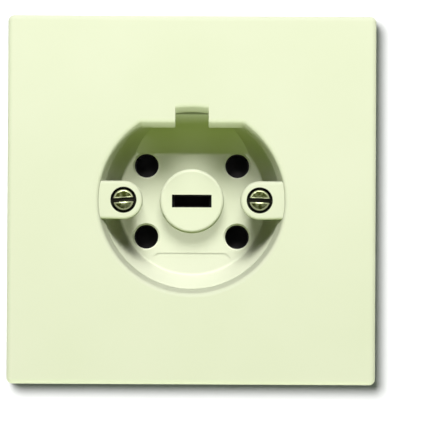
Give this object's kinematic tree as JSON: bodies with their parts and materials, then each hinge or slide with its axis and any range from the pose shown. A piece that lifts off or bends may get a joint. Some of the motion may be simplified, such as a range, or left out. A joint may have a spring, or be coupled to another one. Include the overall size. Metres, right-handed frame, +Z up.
{
  "type": "three-phase wall socket",
  "caption": "Square flush wall socket with a round keyed recess for a multi-pole plug, slotted cover screws, a steel carrier and a terminal base behind.",
  "frame": {"origin": "on the socket's axis in the plane of the wall, at the back of the carrier plate", "axes": "+Z up, +Y into the wall, so the cover faces -Y; +X to the right as the user sees it"},
  "size_m": [0.1, 0.044, 0.1],
  "materials": {
    "cream_plastic": "smooth cream moulding, satin gloss",
    "base_plastic": "dark phenolic moulding, satin",
    "zinc_steel": "zinc plated sheet",
    "screw_steel": "nickel plated, scuffed",
    "brass": "turned, bare",
    "bronze": "stamped strip, bare",
    "spring_steel": "blank spring steel"
  },
  "bodies": {
    "root": {"base_screws": "screw_steel", "carrier_plate": "zinc_steel", "carrier_screws": "screw_steel", "contact_l1": "brass", "contact_l2": "brass", "contact_l3": "brass", "contact_n": "brass", "cover_plate": "cream_plastic", "cover_screw_bushes": "brass", "cover_screws": "screw_steel", "earth_contact": "bronze", "earth_spring": "spring_steel", "earth_terminal": "brass", "sleeve_spring_l1": "spring_steel", "sleeve_spring_l2": "spring_steel", "sleeve_spring_l3": "spring_steel", "sleeve_spring_n": "spring_steel", "socket_face": "cream_plastic", "terminal_base": "base_plastic", "terminal_screws": "screw_steel"}
  },
  "joints": []
}
